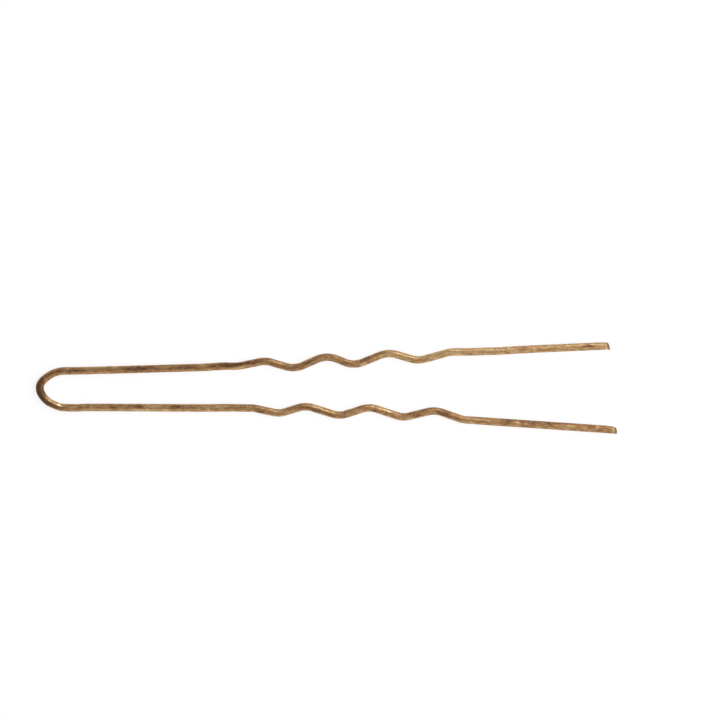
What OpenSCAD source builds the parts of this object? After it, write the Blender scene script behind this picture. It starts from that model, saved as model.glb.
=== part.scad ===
// Waved hairpin: one length of round wire, bent into a U, with waves pressed into both legs.
// It lies flat on the plane Z = 0. +X runs from the bend to the points and +Y to the short leg.
// The wire's springing is carried by a flex axis in each leg, a little way out from the bend.

/* [Wire] */
// Diameter of the round wire
wire_d = 1; // [0.8:0.05:1.3]
// Overall length, from the outer face of the bend to the long point
pin_l = 76; // [70:0.5:90]

/* [Bend] */
// Clear gap between the legs where the bend runs out into them
eye_w = 3.7; // [3:0.1:5]
// Radius of the bend's nose, on the wire's centreline
nose_r = 1.6; // [1.2:0.05:2]
// Angle that the nose turns to each side of the pin's middle, before the wider shoulders
nose_angle = 40; // [30:1:50]

/* [Shanks] */
// Angle at which each straight shank leans away from the pin's middle
shank_angle = 0.95; // [0:0.05:2]
// Straight shank of the short leg, from the end of the bend to the corner of its first knee
short_shank = 23.8; // [20:0.1:28]
// Straight shank of the long leg, from the end of the bend to the corner of its first knee
long_shank = 25.5; // [20:0.1:28]

/* [Waves] */
// Number of whole waves in each leg
wave_count = 3; // [2:1:4]
// Length of one whole wave, measured along the leg
wave_pitch = 8.3; // [7:0.1:9]
// Radius of each crest, on the wire's centreline
crest_r = 3.4; // [1.5:0.1:5]
// Radius of the knee at either end of the waves, on the wire's centreline
knee_r = 4.4; // [2:0.1:8]
// Height of the short leg's waves, between the corners that the crests round off
short_wave_h = 1.5; // [0.8:0.05:1.8]
// Height of the long leg's waves, between the corners that the crests round off
long_wave_h = 1.25; // [0.8:0.05:1.8]
// Lean of the short leg's row of waves away from the pin's middle
short_wave_angle = 2.7; // [1.5:0.1:4]
// Lean of the long leg's row of waves away from the pin's middle
long_wave_angle = 2.65; // [1.5:0.1:4]

/* [Points] */
// Run of the short leg's last flank, from its inner crest to the knee before the point
short_run_out = 2.6; // [1.5:0.1:4]
// Run of the long leg's last flank, from its inner crest to the knee before the point
long_run_out = 3.9; // [1.5:0.1:4]
// Lean of the short leg's straight point away from the pin's middle
short_point_angle = 1.9; // [0.5:0.1:6]
// Lean of the long leg's straight point away from the pin's middle
long_point_angle = 4.5; // [0.5:0.1:6]
// Distance by which the short leg ends before the long one
point_step = 0.85; // [0:0.05:4]

/* [Cut ends] */
// Lean of the sheared end face from square across the wire
cut_angle = 13; // [0:1:25]
// Radius that the shears drew the wire's edge down to, on the side where they entered
cut_round = 0.35; // [0.1:0.05:0.4]

/* [Flex axes] */
// Distance of the two flex axes from the outer face of the bend
flex_x = 9.5; // [7:0.1:16]
// Radius by which the round knuckle at each flex axis passes the wire's own
knuckle_over = 0.1; // [0.05:0.05:0.3]
// Clearance around the knuckle
flex_gap = 0.05; // [0.02:0.01:0.2]

/* [Hidden] */
$fn = 48;
wire_r = wire_d / 2;
bend_over = 0.01; // how far the bent stretches of wire stand proud of the straight ones
lap = 0.05; // how far each straight stretch, and the nose, reaches into the bend beside it
most_trim = 0.49; // the most of the line between two corners that one round may take
block = 4 * wire_d; // size of what cuts the wire, so that it passes the wire on every side

// The bend: a tight nose between two wider shoulders, which end on the shanks
half_eye = (eye_w + wire_d) / 2;
nose_lap = lap / nose_r * 180 / PI;
bend_turn = 90 - shank_angle;
shoulder_r = (half_eye - nose_r * sin(nose_angle)) / (sin(bend_turn) - sin(nose_angle));
shoulder_c = [nose_r + (shoulder_r - nose_r) * cos(nose_angle), -(shoulder_r - nose_r) * sin(nose_angle)];
bend_end = shoulder_c + shoulder_r * [-cos(bend_turn), sin(bend_turn)];

// The flex axis of each leg stands on its shank
flex_run = (flex_x - wire_r - bend_end.x) / cos(shank_angle);
flex_at = ahead(bend_end, shank_angle, flex_run);
knuckle_r = wire_r + knuckle_over;
socket_r = knuckle_r + flex_gap;

// The corners that each leg's wire would turn at if its crests and knees were sharp
cut_over = wire_r * tan(cut_angle);
long_reach = pin_l - wire_r - cut_over * cos(long_point_angle) + wire_r * sin(long_point_angle);
short_reach = long_reach - point_step;
short_corners = leg_corners(short_shank, short_wave_h, short_wave_angle, short_run_out,
                            short_point_angle, short_reach);
long_corners = leg_corners(long_shank, long_wave_h, long_wave_angle, long_run_out,
                           long_point_angle, long_reach);

// The middle of the pin's outline, which is the model's origin
short_end = short_corners[len(short_corners) - 1];
long_end = long_corners[len(long_corners) - 1];
middle = [pin_l / 2 - wire_r, (short_end.y - long_end.y) / 2];

function ahead(from, heading, run) = from + run * [cos(heading), sin(heading)];
function heading(a, b) = atan2(b.y - a.y, b.x - a.x);

// A leg above the pin's middle: flex axis, first knee, crests by turns out and in, last knee, end
function leg_corners(shank, wave_h, wave_angle, run_out, point_angle, reach) =
    let (
        flank_slope = 2 * wave_h / wave_pitch,
        out = [-sin(wave_angle), cos(wave_angle)],
        knee = ahead(bend_end, shank_angle, shank),
        crests = [for (i = [0:2 * wave_count - 1])
            ahead(knee, wave_angle, (2 * i + 1) * wave_pitch / 4) + (i % 2 == 0 ? 1 : -1) * wave_h / 2 * out],
        last = crests[2 * wave_count - 1],
        last_knee = ahead(last, wave_angle, run_out) + run_out * flank_slope * out,
        end = last_knee + (reach - last_knee.x) * [1, tan(point_angle)]
    )
    concat([flex_at, knee], crests, [last_knee, end]);

// The turn at corner i of a leg, to the left where it is positive, and the radius meant for it
function turn(p, i) = heading(p[i], p[i + 1]) - heading(p[i - 1], p[i]);
function corner_r(p, i) = i == 1 || i == len(p) - 2 ? knee_r : crest_r;

// How much of the two lines that meet at corner i its round takes
function trim(p, i) = i == 0 || i == len(p) - 1 ? 0 :
    min(corner_r(p, i) * tan(abs(turn(p, i)) / 2),
        most_trim * norm(p[i] - p[i - 1]), most_trim * norm(p[i + 1] - p[i]));

module at(p, heading = 0) {
    translate([p.x, p.y, 0]) rotate(heading) children();
}

// A straight length of wire along X
module straight(from, to) {
    translate([from, 0, 0]) rotate([0, 90, 0]) cylinder(r = wire_r, h = to - from);
}

// Wire bent round the origin, from one angle through another
module arc(r, from, sweep, over = bend_over) {
    rotate(from) rotate_extrude(angle = sweep) translate([r, 0]) circle(r = wire_r + over);
}

// Wire that rounds corner i of a leg
module rounded_corner(p, i) {
    before = heading(p[i - 1], p[i]);
    turned = turn(p, i);
    side = sign(turned);
    r = trim(p, i) / tan(abs(turned) / 2);
    centre = ahead(ahead(p[i], before, -trim(p, i)), before + side * 90, r);
    at(centre) arc(r, side > 0 ? before - 90 : before + 90 + turned, abs(turned));
}

// Everything of the first straight that reaches behind the flex axis lies inside a round knuckle
module knuckle_end(l) {
    difference() {
        straight(-socket_r, l + lap);
        difference() {
            translate([-block, -block / 2, -block / 2]) cube(block);
            cylinder(r = knuckle_r, h = 2 * block, center = true);
        }
    }
}

// The last straight ends at X = l, sheared at an angle, with its edge drawn down where the shears entered
module cut_end(l, entry_side) {
    mirror([0, entry_side > 0 ? 0 : 1, 0]) difference() {
        straight(-lap, l + wire_d);
        translate([l, 0, 0]) rotate(cut_angle) translate([0, -block / 2, -block / 2]) cube(block);
        translate([l, 0, 0]) drawn_edge();
    }
}

// What the shears took off the edge: all that lies past a round against the wire's side and the cut face
module drawn_edge() {
    centre_y = wire_r - cut_round;
    centre_x = -(cut_round + centre_y * sin(cut_angle)) / cos(cut_angle);
    side = [0, wire_d];
    face = wire_d * [cos(cut_angle), sin(cut_angle)];
    translate([centre_x, centre_y, 0]) difference() {
        linear_extrude(block, center = true) polygon([[0, 0], face, side + face, side]);
        cylinder(r = cut_round, h = 2 * block, center = true);
    }
}

// A leg from its flex axis to its point; the shears came from entry_side, +1 or -1 of the leg
module leg(p, entry_side) {
    last = len(p) - 1;
    at(p[0], heading(p[0], p[1])) knuckle_end(norm(p[1] - p[0]) - trim(p, 1));
    for (i = [1:last - 1]) {
        way = heading(p[i], p[i + 1]);
        rounded_corner(p, i);
        at(ahead(p[i], way, trim(p, i)), way)
            if (i < last - 1)
                straight(-lap, norm(p[i + 1] - p[i]) - trim(p, i) - trim(p, i + 1) + lap);
            else
                cut_end(norm(p[i + 1] - p[i]) - trim(p, i), entry_side);
    }
}

// Half of the bend, from its nose to the socket round the flex axis
module half_bend() {
    at(shoulder_c) arc(shoulder_r, 180 - bend_turn, bend_turn - nose_angle);
    difference() {
        at(bend_end, shank_angle) straight(-lap, flex_run);
        at(flex_at) cylinder(r = socket_r, h = block, center = true);
    }
}

module place() {
    translate([-middle.x, -middle.y, wire_r + bend_over]) children();
}

module bend() {
    color("#7d5c36") place() {
        at([nose_r, 0]) arc(nose_r, 180 - nose_angle - nose_lap, 2 * (nose_angle + nose_lap), over = 0);
        half_bend();
        mirror([0, 1, 0]) half_bend();
    }
}

module short_leg() {
    color("#9a7646") place() leg(short_corners, 1);
}

module long_leg() {
    color("#8d6b3f") place() mirror([0, 1, 0]) leg(long_corners, -1);
}

bend();
short_leg();
long_leg();
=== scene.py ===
import math
from collections import namedtuple
from typing import NamedTuple

import bpy
import numpy as np
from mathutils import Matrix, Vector, noise


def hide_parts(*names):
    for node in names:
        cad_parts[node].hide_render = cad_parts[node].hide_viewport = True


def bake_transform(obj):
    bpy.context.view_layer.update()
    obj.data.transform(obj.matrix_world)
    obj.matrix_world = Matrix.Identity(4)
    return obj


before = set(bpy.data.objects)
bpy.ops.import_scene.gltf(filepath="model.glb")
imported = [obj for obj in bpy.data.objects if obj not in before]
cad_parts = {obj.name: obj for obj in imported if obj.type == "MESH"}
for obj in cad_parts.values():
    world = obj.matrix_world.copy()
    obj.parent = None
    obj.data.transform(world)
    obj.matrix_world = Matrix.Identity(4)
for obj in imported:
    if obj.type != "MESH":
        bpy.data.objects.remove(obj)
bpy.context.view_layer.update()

# Sizes are in millimetres and angles in degrees, as in the part's source
MM = 0.001

# The wire and its bend
WIRE_D = 1.0
WIRE_R = WIRE_D / 2
PIN_L = 76.0
EYE_W = 3.7
NOSE_R = 1.6
NOSE_ANGLE = 40.0
SHANK_ANGLE = 0.95
BEND_OVER = 0.01  # the bent stretches of the solids stand this far proud

# The waves, the same in both legs
WAVE_COUNT = 3
WAVE_PITCH = 8.3
CREST_R = 3.4
KNEE_R = 4.4  # but the short leg's first knee is softer
MOST_TRIM = 0.49  # the most of the line between two corners that one round takes

# The sheared ends
POINT_STEP = 0.85
CUT_ANGLE = 13.0
CUT_ROUND = 0.35
CUT_BACK = 19.0  # lean of the cut face out of upright, so that it shows from above
RIM_R = 0.04  # round of the cut face's own edge
TAPER_L = 1.8  # length over which the shears drew the wire thinner

# The burr, on the side where the shears came out
LIP = 0.09  # how far its lip stands proud
LIP_RUN = 0.11  # how far the lip reaches back from the cut face
LIP_PUSH = 0.036  # how far the shears dragged the lip past the cut face
LIP_PUSH_RUN = 0.06
NICK = 0.09  # depth of the hollow behind the lip
NICK_AT = 0.38  # where that hollow lies, back from the cut face
NICK_RUN = 0.14
EXIT_FALL = 3  # how steeply the burr dies out round the wire
RIM_FALL = 6  # and from the wire's side into the cut face
RAGGED = 0.7  # how unevenly it stands, as a share of itself
RAGGED_SCALE = 2.5

# The surface of the lacquered wire
LACQUER = 0.006  # thickness of the film
LUMP = 0.006  # how unevenly it lies
LUMP_ALONG = 0.7  # how close together its lumps lie, along the wire and across it
LUMP_ACROSS = 2.2
SEAM_RUN = 2.0  # the lumps fade over this length to nothing at the nose's apex
PRESS_MARK = 0.02  # depth of the flats that the wave dies left
PRESS_RUN = 0.9
PRESS_FROM = 0.6  # share of the wire's radius at which a flat begins
NOSE_SWELL = 0.06  # share by which the former pressed the wire broader round the nose
NOSE_SWELL_RUN = 1.6

# The mesh
AROUND = 40
RING_STEP = 0.16
SLOPE_STEP = 0.01  # the sways' slope at the nose's apex is taken over this much to either side
END_RINGS = 24
END_CROWDING = 1.6  # how much closer the rings lie towards the cut face
FACE_RADII = (0.497, 0.488, 0.475, 0.46, 0.43, 0.38, 0.31, 0.22, 0.12)  # rings on the cut face
UV_STRIPS = 5
STRIP_ROOM = 1.12  # height of a strip, as a share of the wire's girth
MAP_ROOM = 1.02  # size of the whole map, as a share of what its strips need
MAP_EDGE = 0.01

# No two waves of a real pin are quite alike. This is how far each corner strays along the leg and
# outward from its place in an even wave, from the first knee over the six crests to the last knee
SHORT_STRAYS = (
    (-1.1, 0), (0.55, -0.15), (0.15, 0), (0.25, 0.1), (-0.45, -0.05), (0, 0), (-0.3, 0.15), (1.1, 0.05),
)
LONG_STRAYS = (
    (-0.7, 0), (0.6, 0), (-0.15, 0.1), (0.2, 0.05), (-0.15, -0.1), (0.15, -0.05), (0.15, 0.05), (0, 0),
)


class Leg(NamedTuple):
    """What sets the two legs apart. Where nothing is said, it is as in the part's source."""

    name: str
    body: str
    side: int  # +1 where the leg lies on +Y, or -1
    shank: float
    knee_r: float  # radius of the first knee
    wave_h: float
    wave_angle: float
    run_out: float
    point_angle: float
    short_by: float  # how far the leg ends before the long one
    taper: float  # how much thinner the shears drew its end
    burr: float  # how much of the full burr it has
    strays: tuple
    seed: float  # sets its unevenness apart from the other leg's


SHORT = Leg(
    name="short_wire", body="short_leg", side=1, shank=23.8, knee_r=9.0, wave_h=1.5, wave_angle=2.7,
    run_out=2.6, point_angle=1.9, short_by=POINT_STEP, taper=0.03, burr=1.0, strays=SHORT_STRAYS, seed=3.1,
)
LONG = Leg(
    name="long_wire", body="long_leg", side=-1, shank=25.5, knee_r=KNEE_R, wave_h=1.25, wave_angle=2.65,
    run_out=3.9, point_angle=4.5, short_by=0.0, taper=0.1, burr=0.35, strays=LONG_STRAYS, seed=41.7,
)

# Where the centreline strays outward from the route's arcs and lines. Each has its distance along
# the wire from the nose's apex (negative on the long leg), half its length and its height, in mm
Sway = namedtuple("Sway", "at reach out")
SWAYS = (
    Sway(0.75, 0.9, 0.075),  # the nose sits a little towards the short leg
    Sway(-1.0, 1.0, -0.1),
    Sway(-2.8, 0.8, -0.06),
    Sway(-5.4, 1.5, 0.08),
    Sway(4.0, 2.5, 0.03),
    Sway(25.1, 1.7, 0.09),
    Sway(41.0, 1.2, 0.035),
    Sway(56.4, 1.3, 0.08),
    Sway(62.2, 1.6, -0.055),
    Sway(-26.0, 3.0, -0.04),
    Sway(-36.0, 3.0, -0.035),
)

# Marks in the lacquer's tone: darker and paler patches of the lacquer, and painted shade and painted
# highlights. Each has its distance along the wire from the nose's apex (negative on the long leg) and
# half its length in mm, its place across the wire (1 is the outer edge, -1 the inner) and half its
# breadth in wire radii, and the change it makes to the lacquer's tone
Mark = namedtuple("Mark", "at reach out breadth change")
DARK_MARKS_AND_SHADE = (
    Mark(-1.3, 1.7, 0.5, 0.8, -0.75),  # painted shade round the outside of the nose, which faces away from the light
    # painted shade on the inside of the nose's apex
    Mark(0.1, 1.1, -0.5, 1.3, -1.0),
    Mark(3.7, 1.1, 0.1, 0.2, -0.9),
    Mark(6.0, 1.0, 0.05, 0.25, -0.7),
    Mark(8.2, 0.7, -0.1, 0.3, -0.35),
    Mark(10.3, 0.6, 0.1, 0.5, -0.4),
    Mark(14.0, 1.9, 0.2, 0.5, -0.75),
    Mark(19.9, 2.0, 0.1, 0.5, -0.6),
    Mark(25.8, 1.5, 0.2, 0.5, -0.85),
    Mark(28.2, 1.9, 0.4, 0.45, -0.45),
    Mark(36.0, 1.8, 0.1, 0.4, -0.4),
    Mark(41.4, 1.0, 0.1, 0.5, -0.4),
    Mark(45.0, 1.2, 0.5, 0.5, -0.45),
    Mark(73.9, 0.8, 0.1, 0.2, -1.6),
    Mark(-10.8, 0.6, -0.2, 0.5, -0.4),
    Mark(-13.9, 1.0, -0.3, 0.4, -0.7),
    Mark(-18.9, 1.2, -0.3, 0.4, -0.6),
    # painted shade on a wave's flank
    Mark(-29.8, 0.9, 0.2, 0.5, -0.45),
    Mark(-37.4, 1.6, 0.4, 0.5, -0.35),
    Mark(-45.6, 0.8, 0.5, 0.5, -0.35),
    Mark(-55.0, 1.6, 0.0, 0.8, -0.3),
    Mark(-63.1, 0.6, 0.0, 1.2, -0.25),
    Mark(-68.0, 8.0, -0.7, 0.6, -0.33),
)
PALE_MARKS_AND_HIGHLIGHTS = (
    Mark(-2.9, 1.3, -0.7, 0.3, 0.55),  # painted highlight along the inside of the long leg's shoulder
    # a painted glint at the shoulder's end
    Mark(-3.72, 0.26, -0.42, 0.24, 3.4),
    # painted highlights on the flanks of the short leg's waves
    Mark(27.0, 1.1, -0.6, 0.4, 0.4),
    Mark(44.0, 0.6, -0.5, 0.4, 0.6),
    Mark(48.6, 1.4, 0.0, 0.7, 0.4),
    Mark(61.0, 15.0, 0.5, 2.4, 0.38),  # painted light: the short leg grows paler towards its point
    Mark(-13.0, 12.0, -0.1, 2.4, 0.17),  # the long leg is paler towards the bend
    # painted highlights on the long leg's waves, and pale flecks towards its point
    Mark(-24.4, 0.4, -0.3, 0.4, 0.5),
    Mark(-32.6, 1.4, -0.35, 0.45, 0.4),
    Mark(-37.6, 1.4, -0.5, 0.35, 0.5),
    Mark(-46.4, 1.2, -0.5, 0.35, 0.7),
    Mark(-47.3, 0.25, -0.4, 0.25, 0.9),
    Mark(-52.8, 0.5, -0.2, 0.5, 0.4),
    Mark(-64.4, 0.25, -0.1, 0.25, 0.9),
    Mark(-65.6, 0.25, 0.0, 0.25, 0.6),
    Mark(-73.3, 0.25, 0.1, 0.25, 0.7),
    Mark(76.2, 0.12, -0.2, 0.8, 0.7),  # painted highlight round the rim of each cut
    Mark(-77.0, 0.15, 0.0, 0.7, 0.6),
)


def unit(angle):
    return np.array([math.cos(math.radians(angle)), math.sin(math.radians(angle))])


def tan(angle):
    return math.tan(math.radians(angle))


def smooth(x):
    """0 below 0, 1 above 1, and a smooth step between."""
    x = np.clip(x, 0, 1)
    return x * x * (3 - 2 * x)


def hump(x):
    return np.exp(-x * x)


# The centreline, from the nose's apex to a leg's end. The apex is the origin and the leg lies on +Y

BEND_TURN = 90 - SHANK_ANGLE
HALF_EYE = (EYE_W + WIRE_D) / 2
SHOULDER_R = (HALF_EYE - NOSE_R * unit(NOSE_ANGLE)[1]) / (unit(BEND_TURN)[1] - unit(NOSE_ANGLE)[1])
BEND_STRETCHES = 2  # a route begins with the nose and the shoulder


def bend_end():
    """Where the bend runs out into the shank."""
    centre = np.array([NOSE_R, 0]) + (SHOULDER_R - NOSE_R) * unit(-NOSE_ANGLE)
    return centre + SHOULDER_R * unit(180 - BEND_TURN)


def leg_corners(leg):
    """The corners that the leg's wire would turn at if its crests and knees were sharp."""
    flank_slope = 2 * leg.wave_h / WAVE_PITCH
    along, out = unit(leg.wave_angle), unit(leg.wave_angle + 90)
    knee = bend_end() + leg.shank * unit(SHANK_ANGLE)
    crests = [
        knee + (2 * i + 1) * WAVE_PITCH / 4 * along + (-1) ** i * leg.wave_h / 2 * out
        for i in range(2 * WAVE_COUNT)
    ]
    last_knee = crests[-1] + leg.run_out * (along + flank_slope * out)
    shank = np.array([unit(SHANK_ANGLE), unit(SHANK_ANGLE + 90)])
    knee, *crests, last_knee = [
        corner + np.array(stray) @ shank for corner, stray in zip([knee, *crests, last_knee], leg.strays)
    ]
    end_x = reach(leg)
    end = np.array([end_x, last_knee[1] + (end_x - last_knee[0]) * tan(leg.point_angle)])
    return [bend_end(), knee, *crests, last_knee, end]


def reach(leg):
    """How far the leg's centreline goes in X, so that the cut face keeps within the pin's length."""
    cut_over = WIRE_R * tan(CUT_ANGLE)
    lean = unit(LONG.point_angle)
    return PIN_L - WIRE_R - cut_over * lean[0] + WIRE_R * lean[1] - leg.short_by


def route(leg):
    """The centreline as (length, turn) stretches. A turn to the left is positive."""
    points = leg_corners(leg)
    steps = [b - a for a, b in zip(points, points[1:])]
    spans = [float(np.linalg.norm(s)) for s in steps]
    headings = [math.degrees(math.atan2(s[1], s[0])) for s in steps]
    radii = [leg.knee_r] + [CREST_R] * (2 * WAVE_COUNT) + [KNEE_R]
    shoulder_turn = BEND_TURN - NOSE_ANGLE
    made = [arc(NOSE_R, -NOSE_ANGLE), arc(SHOULDER_R, -shoulder_turn)]
    trimmed = 0
    for i, radius in enumerate(radii):
        turn = headings[i + 1] - headings[i]
        half = tan(abs(turn) / 2)
        trim = min(radius * half, MOST_TRIM * spans[i], MOST_TRIM * spans[i + 1])
        made += [(spans[i] - trimmed - trim, 0), arc(trim / half, turn)]
        trimmed = trim
    return made + [(spans[-1] - trimmed, 0)]


def arc(radius, turn):
    return (radius * math.radians(abs(turn)), turn)


def route_length(stretches):
    return sum(length for length, _ in stretches)


def trace(stretches, along):
    """Centre points and headings along the route. Past its end the wire runs straight on."""
    points, headings = np.zeros((len(along), 2)), np.zeros(len(along))
    start, point, heading = 0.0, np.zeros(2), 90.0
    for length, turn in [*stretches, (math.inf, 0)]:
        here = (along >= start) & (along < start + length)
        run = along[here] - start
        points[here] = point + advance(heading, length, turn, run)
        headings[here] = heading + (turn * run / length if turn else 0)
        if length < math.inf:
            point = point + advance(heading, length, turn, np.array([length]))[0]
            heading += turn
            start += length
    return points, np.radians(headings)


def advance(heading, length, turn, run):
    """How far the pen moves after each run along a stretch."""
    h = math.radians(heading)
    if not turn:
        return run[:, None] * np.array([math.cos(h), math.sin(h)])
    bend = math.radians(turn) / length
    x = np.sin(h + bend * run) - math.sin(h)
    y = math.cos(h) - np.cos(h + bend * run)
    return np.stack([x, y], 1) / bend


# The straight wire. Its points are (along, out, up), where out is away from the pin's middle

def end_face(leg, length, out, up):
    """How far along the cut face lies. The shears came from the side of +Y and drew that edge down."""
    y = out * leg.side
    lean = unit(CUT_ANGLE)
    centre_y = WIRE_R - CUT_ROUND
    centre_x = -(CUT_ROUND + centre_y * lean[1]) / lean[0]
    tangent_y = centre_y + CUT_ROUND * lean[1]
    rounded = centre_x + np.sqrt(np.maximum(CUT_ROUND ** 2 - np.maximum(y - centre_y, 0) ** 2, 0))
    flat = -y * tan(CUT_ANGLE)
    rim = np.maximum(np.hypot(out, up) - (WIRE_R - RIM_R), 0)
    rim_drop = RIM_R - np.sqrt(np.maximum(RIM_R ** 2 - rim ** 2, 0))
    back = (up + WIRE_R) * tan(CUT_BACK)
    return length + np.where(y > tangent_y, rounded, flat) - back - rim_drop


def ring_rows(leg, length):
    """The mesh's rings from the seam at the nose to the middle of the cut face: (along, radius, cut)."""
    angles = np.arange(AROUND) * 2 * math.pi / AROUND
    out, up = np.cos(angles), np.sin(angles)
    last = length - TAPER_L
    sides = np.linspace(0, last, round(last / RING_STEP) + 1)
    rows = [(np.full(AROUND, s), WIRE_R, 0.0) for s in sides]
    rim = end_face(leg, length, WIRE_R * out, WIRE_R * up)
    for share in 1 - np.linspace(1, 0, END_RINGS)[1:] ** END_CROWDING:
        rows.append((last + (rim - last) * share, WIRE_R, 0.0))
    for radius in FACE_RADII:
        rows.append((end_face(leg, length, radius * out, radius * up), radius, 1.0))
    return angles, rows


def straight_wire(leg, stretches):
    """The wire before it is bent: rings of (along, out, up), and which of them lie on the cut face."""
    length = route_length(stretches)
    angles, rows = ring_rows(leg, length)
    rings = np.zeros((len(rows), AROUND, 3))
    cut = np.zeros(len(rows))
    for i, (along, radius, on_cut) in enumerate(rows):
        rings[i, :, 0] = along
        rings[i, :, 1] = radius * np.cos(angles)
        rings[i, :, 2] = radius * np.sin(angles)
        cut[i] = on_cut
    broaden_nose(rings)
    press_waves(rings, stretches)
    draw_down(rings, leg, length)
    raise_burr(rings, leg, length, angles)
    add_lumps(rings, leg)
    return rings, cut


def broaden_nose(rings):
    """The former pressed the wire a little broader and flatter where it turned it tightest."""
    near = NOSE_SWELL * hump(rings[..., 0] / NOSE_SWELL_RUN)
    rings[..., 1] *= 1 + near
    rings[..., 2] *= 1 - near / 2


def press_waves(rings, stretches):
    """The dies leave a slight flat on the hollow side of each crest."""
    start = 0.0
    for i, (length, turn) in enumerate(stretches):
        if turn and i >= BEND_STRETCHES:
            near = hump((rings[..., 0] - start - length / 2) / PRESS_RUN)
            facing = np.sign(turn) * rings[..., 1] / WIRE_R
            pressed = smooth((facing - PRESS_FROM) / (1 - PRESS_FROM))
            rings[..., 1] -= np.sign(turn) * PRESS_MARK * near * pressed
        start += length


def draw_down(rings, leg, length):
    """The shears drew the wire thinner on the side where they entered."""
    y = rings[..., 1] * leg.side
    near = smooth((rings[..., 0] - length + TAPER_L) / TAPER_L)
    rings[..., 1] -= leg.side * leg.taper * near * smooth(y / WIRE_R)


def raise_burr(rings, leg, length, angles):
    """Where the shears came out, the wire has a ragged lip with a nick behind it."""
    to_rim = end_face(leg, length, WIRE_R * np.cos(angles), WIRE_R * np.sin(angles)) - rings[..., 0]
    radius = np.hypot(rings[..., 1], rings[..., 2])
    behind = np.maximum(to_rim, 0)
    exit_side = np.maximum(-leg.side * np.cos(angles), 0) ** EXIT_FALL
    ragged = np.array([ragged_at(a, leg.seed) for a in angles])
    amount = leg.burr * exit_side * (1 + RAGGED * ragged) * (radius / WIRE_R) ** RIM_FALL
    grow = amount * (LIP * hump(behind / LIP_RUN) - NICK * hump((to_rim - NICK_AT) / NICK_RUN))
    rings[..., 1:] *= (1 + grow / radius)[..., None]
    rings[..., 0] += LIP_PUSH * amount * hump(behind / LIP_PUSH_RUN)


def ragged_at(angle, seed):
    """Noise that comes back to itself once round the wire."""
    across = RAGGED_SCALE * math.cos(angle)
    up = RAGGED_SCALE * math.sin(angle)
    return noise.noise(Vector((across, up, seed)))


def add_lumps(rings, leg):
    """The lacquer lies a little unevenly. The seam at the nose stays exact, so that the two wires meet."""
    for ring in rings:
        for point in ring:
            along, out, up = point
            place = Vector((along * LUMP_ALONG + leg.seed, out * LUMP_ACROSS, up * LUMP_ACROSS))
            film = LACQUER + LUMP * noise.noise(place) * float(smooth(along / SEAM_RUN))
            point[1:] *= 1 + film / WIRE_R


def sway(signed_along):
    """How far outward the centreline strays at this distance from the nose's apex."""
    return sum(s.out * hump((signed_along - s.at) / s.reach) for s in SWAYS)


def bend_along(rings, leg, stretches):
    """The straight wire laid along its route, in metres in the part's frame."""
    centres, headings = trace(stretches, rings[..., 0].ravel())
    shape = rings.shape[:2]
    x, y = centres[:, 0].reshape(shape), centres[:, 1].reshape(shape)
    h = headings.reshape(shape)
    out = rings[..., 1] + sway(leg.side * rings[..., 0])
    x = x - np.sin(h) * out
    y = y + np.cos(h) * out
    middle_x, middle_y = pin_middle()
    placed = [x - middle_x, leg.side * y - middle_y, rings[..., 2] + WIRE_R + BEND_OVER]
    return np.stack(placed, -1) * MM


def pin_middle():
    """The middle of the pin's outline, seen from the nose's apex."""
    return PIN_L / 2 - WIRE_R, (leg_corners(SHORT)[-1][1] - leg_corners(LONG)[-1][1]) / 2


# The mesh of one leg's wire, from the nose's apex to the leg's end

def wire_mesh(leg):
    stretches = route(leg)
    rings, cut = straight_wire(leg, stretches)
    placed = bend_along(rings, leg, stretches)
    count = len(rings)
    seam_centre, tip_centre = count * AROUND, count * AROUND + 1
    vertices = [*placed.reshape(-1, 3), placed[0].mean(0), placed[-1].mean(0)]
    straightened = [*rings.reshape(-1, 3), rings[0].mean(0), rings[-1].mean(0)]
    on_cut = [*np.repeat(cut, AROUND), 0.0, 1.0]
    faces = [[seam_centre, (j + 1) % AROUND, j] for j in range(AROUND)]
    for i in range(count - 1):
        a, b = i * AROUND, (i + 1) * AROUND
        faces += [[a + j, a + (j + 1) % AROUND, b + (j + 1) % AROUND, b + j] for j in range(AROUND)]
    a = (count - 1) * AROUND
    faces += [[a + j, a + (j + 1) % AROUND, tip_centre] for j in range(AROUND)]
    if leg.side < 0:
        faces = [face[::-1] for face in faces]
    mesh = bpy.data.meshes.new(leg.name)
    mesh.from_pydata([Vector(v) for v in vertices], [], faces)
    mesh.shade_smooth()
    unrolled = np.array(straightened) * (leg.side, 1, 1)
    add_attribute(mesh, "wire_space", "FLOAT_VECTOR", "vector", unrolled)
    add_attribute(mesh, "mark", "FLOAT", "value", marks_at(unrolled))
    add_cut_finish(mesh, on_cut)
    add_strip_map(mesh, rings)
    keep_seam_normals(mesh)
    return mesh


def add_attribute(mesh, name, kind, field, values):
    layer = mesh.attributes.new(name, kind, "POINT")
    layer.data.foreach_set(field, np.array(values, np.float32).ravel())


def marks_at(unrolled):
    """What the marks change in the lacquer's tone at each point of the wire, painted shade and painted
    highlights among them.
    """
    change = np.zeros(len(unrolled))
    for mark in DARK_MARKS_AND_SHADE + PALE_MARKS_AND_HIGHLIGHTS:
        near = hump((unrolled[:, 0] - mark.at) / mark.reach)
        change += mark.change * near * hump((unrolled[:, 1] / WIRE_R - mark.out) / mark.breadth)
    return change


def add_cut_finish(mesh, on_cut):
    """The sheared face is bare of lacquer, so it has a finish of its own."""
    for polygon in mesh.polygons:
        polygon.material_index = int(all(on_cut[v] for v in polygon.vertices))


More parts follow.
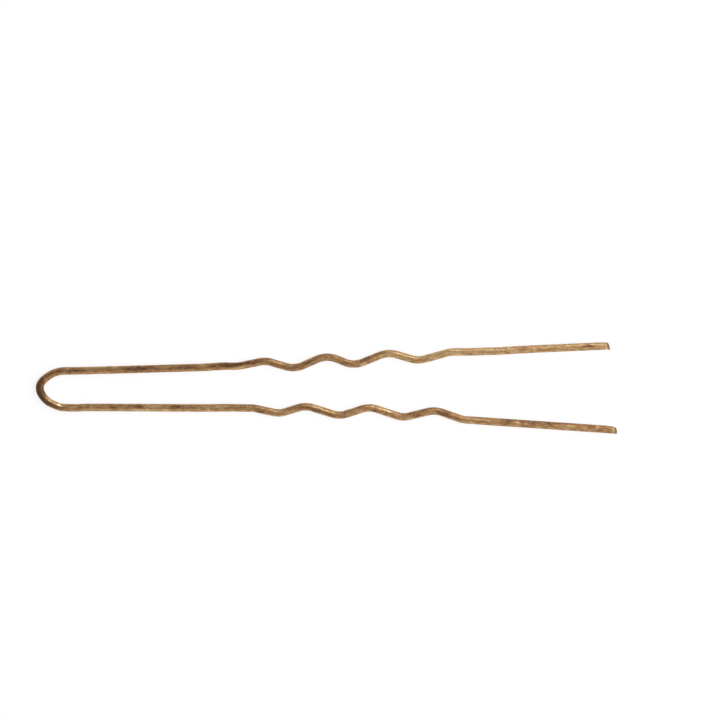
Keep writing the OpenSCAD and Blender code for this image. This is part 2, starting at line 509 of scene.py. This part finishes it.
def add_strip_map(mesh, rings):
    """Unrolls the wire into a few long strips, one above the other, to waste little of a texture's room."""
    girth = math.pi * WIRE_D
    steps = np.linalg.norm(np.diff(rings, axis=0), axis=2).mean(1)
    last_radius = np.hypot(*(rings[-1, 0, 1:] - rings[-1].mean(0)[1:]))
    ring_at = WIRE_R + np.concatenate([[0], np.cumsum(steps)])
    total = ring_at[-1] + last_radius
    places = [*np.repeat(ring_at, AROUND), 0.0, total]
    strip_l, strip_h = total / UV_STRIPS, girth * STRIP_ROOM
    size = max(strip_l, strip_h * UV_STRIPS) * MAP_ROOM
    layer = mesh.uv_layers.new(name="OFBake")
    for polygon in mesh.polygons:
        corners = [mesh.loops[k].vertex_index for k in polygon.loop_indices]
        strip = min(int(min(places[c] for c in corners) / strip_l), UV_STRIPS - 1)
        for k, c, share in zip(polygon.loop_indices, corners, shares_round(corners, len(rings))):
            u = (places[c] - strip * strip_l) / size + MAP_EDGE
            v = (strip * strip_h + share * girth) / size + MAP_EDGE
            layer.data[k].uv = (u, v)


def shares_round(corners, ring_count):
    """How far round the wire each corner of a face lies. The middle of an end takes its face's mean."""
    columns = [c % AROUND for c in corners if c < ring_count * AROUND]
    if max(columns) - min(columns) > AROUND / 2:
        columns = [c or AROUND for c in columns]
    mean = sum(columns) / len(columns)
    left = iter(columns)
    return [(next(left) if c < ring_count * AROUND else mean) / AROUND for c in corners]


def keep_seam_normals(mesh):
    """The two wires meet square at the nose's apex. Exact side normals there keep the seam from showing.

    The triangles that close the wire's end, inside the seam, keep their own.
    """
    seam = range(AROUND)
    for edge in mesh.edges:
        edge.use_edge_sharp = all(v in seam for v in edge.vertices)
    slope = (sway(SLOPE_STEP) - sway(-SLOPE_STEP)) / (2 * SLOPE_STEP)
    broad, flat = 1 + NOSE_SWELL, 1 - NOSE_SWELL / 2
    normals = [corner.vector.copy() for corner in mesh.corner_normals]
    for polygon in mesh.polygons:
        corners = [(k, mesh.loops[k].vertex_index) for k in polygon.loop_indices]
        if len(corners) == 3:
            continue
        for k, vertex in corners:
            if vertex in seam:
                angle = 2 * math.pi * vertex / AROUND
                out, up = math.cos(angle) / broad, math.sin(angle) / flat
                normals[k] = Vector((-out, -slope * out, up)).normalized()
    mesh.normals_split_custom_set(normals)


# Materials

class Shader:
    """A material with short calls to add nodes. A value may be a plain number or another node's output."""

    def __init__(self, name):
        self.material = bpy.data.materials.new(name)
        self.material.use_nodes = True
        self.tree = self.material.node_tree
        self.tree.nodes.clear()

    def add(self, kind, values=None, **settings):
        node = self.tree.nodes.new("ShaderNode" + kind)
        for key, value in settings.items():
            setattr(node, key, value)
        for key, value in (values or {}).items():
            self.set(node.inputs[key], value)
        return node

    def set(self, socket, value):
        if isinstance(value, bpy.types.NodeSocket):
            self.tree.links.new(value, socket)
        else:
            socket.default_value = value

    def maths(self, operation, *values):
        node = self.add("Math", dict(enumerate(values)), operation=operation)
        return node.outputs[0]

    def attribute(self, name):
        return self.add("Attribute", attribute_name=name)

    def stretched(self, vector, scale):
        return self.add("VectorMath", {0: vector, 1: scale}, operation="MULTIPLY").outputs[0]

    def noise(self, vector, detail=3.0, roughness=0.55):
        values = {"Vector": vector, "Scale": 1.0, "Detail": detail, "Roughness": roughness}
        return self.add("TexNoise", values).outputs["Fac"]

    def level(self, value, low, high, to_low=0.0, to_high=1.0):
        values = {"Value": value, "From Min": low, "From Max": high, "To Min": to_low, "To Max": to_high}
        return self.add("MapRange", values).outputs["Result"]

    def mix(self, share, a, b):
        node = self.add("Mix", data_type="RGBA")
        for socket, value in zip([node.inputs[k] for k in (0, 6, 7)], (share, a, b)):
            self.set(socket, value)
        return node.outputs[2]

    def bump(self, height, distance, under=None):
        values = {"Height": height, "Distance": distance * MM}
        if under is not None:
            values["Normal"] = under
        return self.add("Bump", values).outputs["Normal"]

    def surface(self, shader):
        output = self.add("OutputMaterial")
        self.tree.links.new(shader, output.inputs["Surface"])


DEEP_BRONZE = (0.140, 0.067, 0.031, 1)
BRONZE = (0.420, 0.226, 0.101, 1)
PALE_BRONZE = (0.685, 0.472, 0.236, 1)
# the colour of painted glints, which the brightest flecks reach too
GLINT_GOLD = (0.95, 0.84, 0.62, 1)
# the sheared steel's brown, darkened further as painted shade
SHADED_CUT_STEEL = (0.130, 0.062, 0.029, 1)
WHITE = (1, 1, 1, 1)

# How close together each kind of unevenness lies, per mm along the wire, outward and up
STREAKS = (1.05, 3.1, 3.1)
CLOUDS = (0.16, 0.7, 0.7)
FLECKS = (2.2, 7.0, 7.0)
FLAKES = (11.0, 24.0, 24.0)
TEARS = (4.0, 3.0, 14.0)

# The tones between which the lacquer passes from one colour to the next
DEEP_TO_BRONZE = (-0.1, 0.55)
BRONZE_TO_PALE = (0.55, 1.2)
PALE_TO_GOLD = (1.4, 2.1)

# How rough the darkest and the palest lacquer are, and how much smoother the painted glints are
DARK_ROUGH = 0.62
PALE_ROUGH = 0.32
GLINT_SMOOTHING = 0.12

# Heights of the surface's relief in mm
STREAK_RELIEF = 0.02
FLECK_RELIEF = 0.014
FLAKE_RELIEF = 0.003
TEAR_RELIEF = 0.02


def bronze_lacquer():
    """Metallic bronze lacquer that was drawn out along the wire in fine streaks, with the marks' painted
    shade and painted highlights in its tone.
    """
    s = Shader("bronze_lacquer")
    place = s.attribute("wire_space").outputs["Vector"]
    mark = s.attribute("mark").outputs["Fac"]
    streaks = s.noise(s.stretched(place, STREAKS), detail=5.0, roughness=0.66)
    clouds = s.noise(s.stretched(place, CLOUDS), detail=2.0)
    flecks = s.noise(s.stretched(place, FLECKS), detail=2.0)
    flakes = s.noise(s.stretched(place, FLAKES), detail=2.0)
    tone = s.maths("ADD", s.level(streaks, 0.3, 0.7), s.level(clouds, 0.35, 0.65, -0.1, 0.1))
    tone = s.maths("ADD", tone, s.level(flecks, 0.57, 0.70, 0.0, 0.5))
    # the marks, painted shade and painted highlights among them, change the tone
    tone = s.maths("MULTIPLY_ADD", mark, s.level(flecks, 0.35, 0.65, 0.4, 1.6), tone)
    colour = s.mix(s.level(tone, *DEEP_TO_BRONZE), DEEP_BRONZE, BRONZE)
    colour = s.mix(s.level(tone, *BRONZE_TO_PALE), colour, PALE_BRONZE)
    colour = s.mix(s.level(tone, *PALE_TO_GOLD), colour, GLINT_GOLD)
    rough = s.level(tone, -0.5, 1.0, DARK_ROUGH, PALE_ROUGH)
    rough = s.maths("SUBTRACT", rough, s.level(tone, *PALE_TO_GOLD, 0.0, GLINT_SMOOTHING))
    normal = s.bump(streaks, STREAK_RELIEF)
    normal = s.bump(flecks, FLECK_RELIEF, normal)
    normal = s.bump(flakes, FLAKE_RELIEF, normal)
    shader = s.add("BsdfPrincipled", {
        "Base Color": colour, "Roughness": rough, "Normal": normal,
        "Metallic": 0.9, "Coat Weight": 0.12, "Coat Roughness": 0.18,
    })
    s.surface(shader.outputs[0])
    return s.material


def cut_steel():
    """The torn steel of the sheared face, browned and darkened further as painted shade, with the lines
    that the shears left down it.
    """
    s = Shader("cut_steel")
    place = s.attribute("wire_space").outputs["Vector"]
    tears = s.noise(s.stretched(place, TEARS))
    colour = s.mix(s.level(tears, 0.35, 0.65, 0.0, 0.5), SHADED_CUT_STEEL, BRONZE)
    shader = s.add("BsdfPrincipled", {
        "Base Color": colour, "Normal": s.bump(tears, TEAR_RELIEF), "Metallic": 0.1,
        "Roughness": 0.65, "Specular IOR Level": 0.1,
    })
    s.surface(shader.outputs[0])
    return s.material


FLOOR_COLOUR = (0.8, 0.8, 0.8, 1)
FLOOR_GLOW = 1.11
GLOW_SHARE = 0.75  # the rest of the floor's white is lit, so that a shadow shows on it


def white_floor():
    """A floor that stays white to the camera and in reflections, and still takes a faint shadow."""
    s = Shader("white_floor")
    path = s.add("LightPath")
    seen = s.maths("MAXIMUM", path.outputs["Is Camera Ray"], path.outputs["Is Glossy Ray"])
    seen = s.maths("MAXIMUM", seen, path.outputs["Is Transmission Ray"])
    lit = s.add("BsdfDiffuse", {"Color": FLOOR_COLOUR})
    white = s.add("Emission", {"Color": WHITE, "Strength": FLOOR_GLOW})
    share = s.maths("MULTIPLY", seen, GLOW_SHARE)
    mixed = s.add("MixShader", {0: share, 1: lit.outputs[0], 2: white.outputs[0]})
    s.surface(mixed.outputs[0])
    return s.material


# The stage, in metres

FLOOR_HALF = 1.5
LIGHT_DISTANCE = 0.3
WORLD_LEVEL = 0.39

# The soft boxes: azimuth and elevation in degrees, the side of the box in metres, and its power
SOFT_LIGHTS = (
    ("key", -8, 45, 0.28, 0.70),
    ("side", 65, 36, 0.20, 0.22),
    ("fill", 270, 22, 0.20, 0.11),
)


def make_floor():
    half = FLOOR_HALF
    mesh = bpy.data.meshes.new("floor")
    corners = [(-half, -half, 0), (half, -half, 0), (half, half, 0), (-half, half, 0)]
    mesh.from_pydata(corners, [], [(0, 1, 2, 3)])
    mesh.materials.append(white_floor())
    floor = bpy.data.objects.new("floor", mesh)
    bpy.context.scene.collection.objects.link(floor)


def soft_light(name, azimuth, elevation, size, power):
    """A square soft box that faces the pin. Its azimuth is counted from the points, to the left."""
    level, height = unit(elevation)
    place = Vector((*unit(azimuth) * level, height)) * LIGHT_DISTANCE
    lamp = bpy.data.lights.new(name, "AREA")
    lamp.size = size
    lamp.energy = power
    box = bpy.data.objects.new(name, lamp)
    box.location = place
    box.rotation_euler = (-place).to_track_quat("-Z", "Y").to_euler()
    bpy.context.scene.collection.objects.link(box)


def light_stage():
    for values in SOFT_LIGHTS:
        soft_light(*values)
    world = bpy.data.worlds.new("studio")
    bpy.context.scene.world = world
    world.use_nodes = True
    nodes, links = world.node_tree.nodes, world.node_tree.links
    background = nodes["Background"]
    path = nodes.new("ShaderNodeLightPath")
    level = nodes.new("ShaderNodeMapRange")
    level.inputs["To Min"].default_value = WORLD_LEVEL
    level.inputs["To Max"].default_value = 1.0
    links.new(path.outputs["Is Camera Ray"], level.inputs["Value"])
    links.new(level.outputs["Result"], background.inputs["Strength"])
    background.inputs["Color"].default_value = WHITE


# The photograph's view
PHOTO_WIDTH = 94.15  # what its width spans at the wire
PHOTO_ROLL = 0.635  # how far the pin is turned in it
PHOTO_CENTRE = (4.399, 4.014)  # the place in the part's frame that its middle shows
LENS = 200.0
SENSOR = 36.0
NEAREST, FARTHEST = 0.01, 20  # clip distances in metres


def make_camera():
    """Straight above the pin, far enough off for the view to be flat."""
    camera = bpy.data.cameras.new("camera")
    camera.sensor_width = SENSOR
    camera.lens = LENS
    camera.clip_start = NEAREST
    camera.clip_end = FARTHEST
    distance = PHOTO_WIDTH * LENS / SENSOR
    stand = bpy.data.objects.new("camera", camera)
    stand.location = Vector((*PHOTO_CENTRE, distance + WIRE_R + BEND_OVER)) * MM
    stand.rotation_euler = (0, 0, -math.radians(PHOTO_ROLL))
    bpy.context.scene.collection.objects.link(stand)
    bpy.context.scene.camera = stand


# The pin


def make_wire(leg, finish, cut_finish):
    wire = bpy.data.objects.new(leg.name, wire_mesh(leg))
    wire.data.materials.append(finish)
    wire.data.materials.append(cut_finish)
    bpy.context.scene.collection.objects.link(wire)
    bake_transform(wire)
    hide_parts("bend", leg.body)


make_camera()
make_floor()
light_stage()
lacquer, bare_steel = bronze_lacquer(), cut_steel()
make_wire(SHORT, lacquer, bare_steel)
make_wire(LONG, lacquer, bare_steel)

bpy.context.scene.view_settings.view_transform = "Standard"
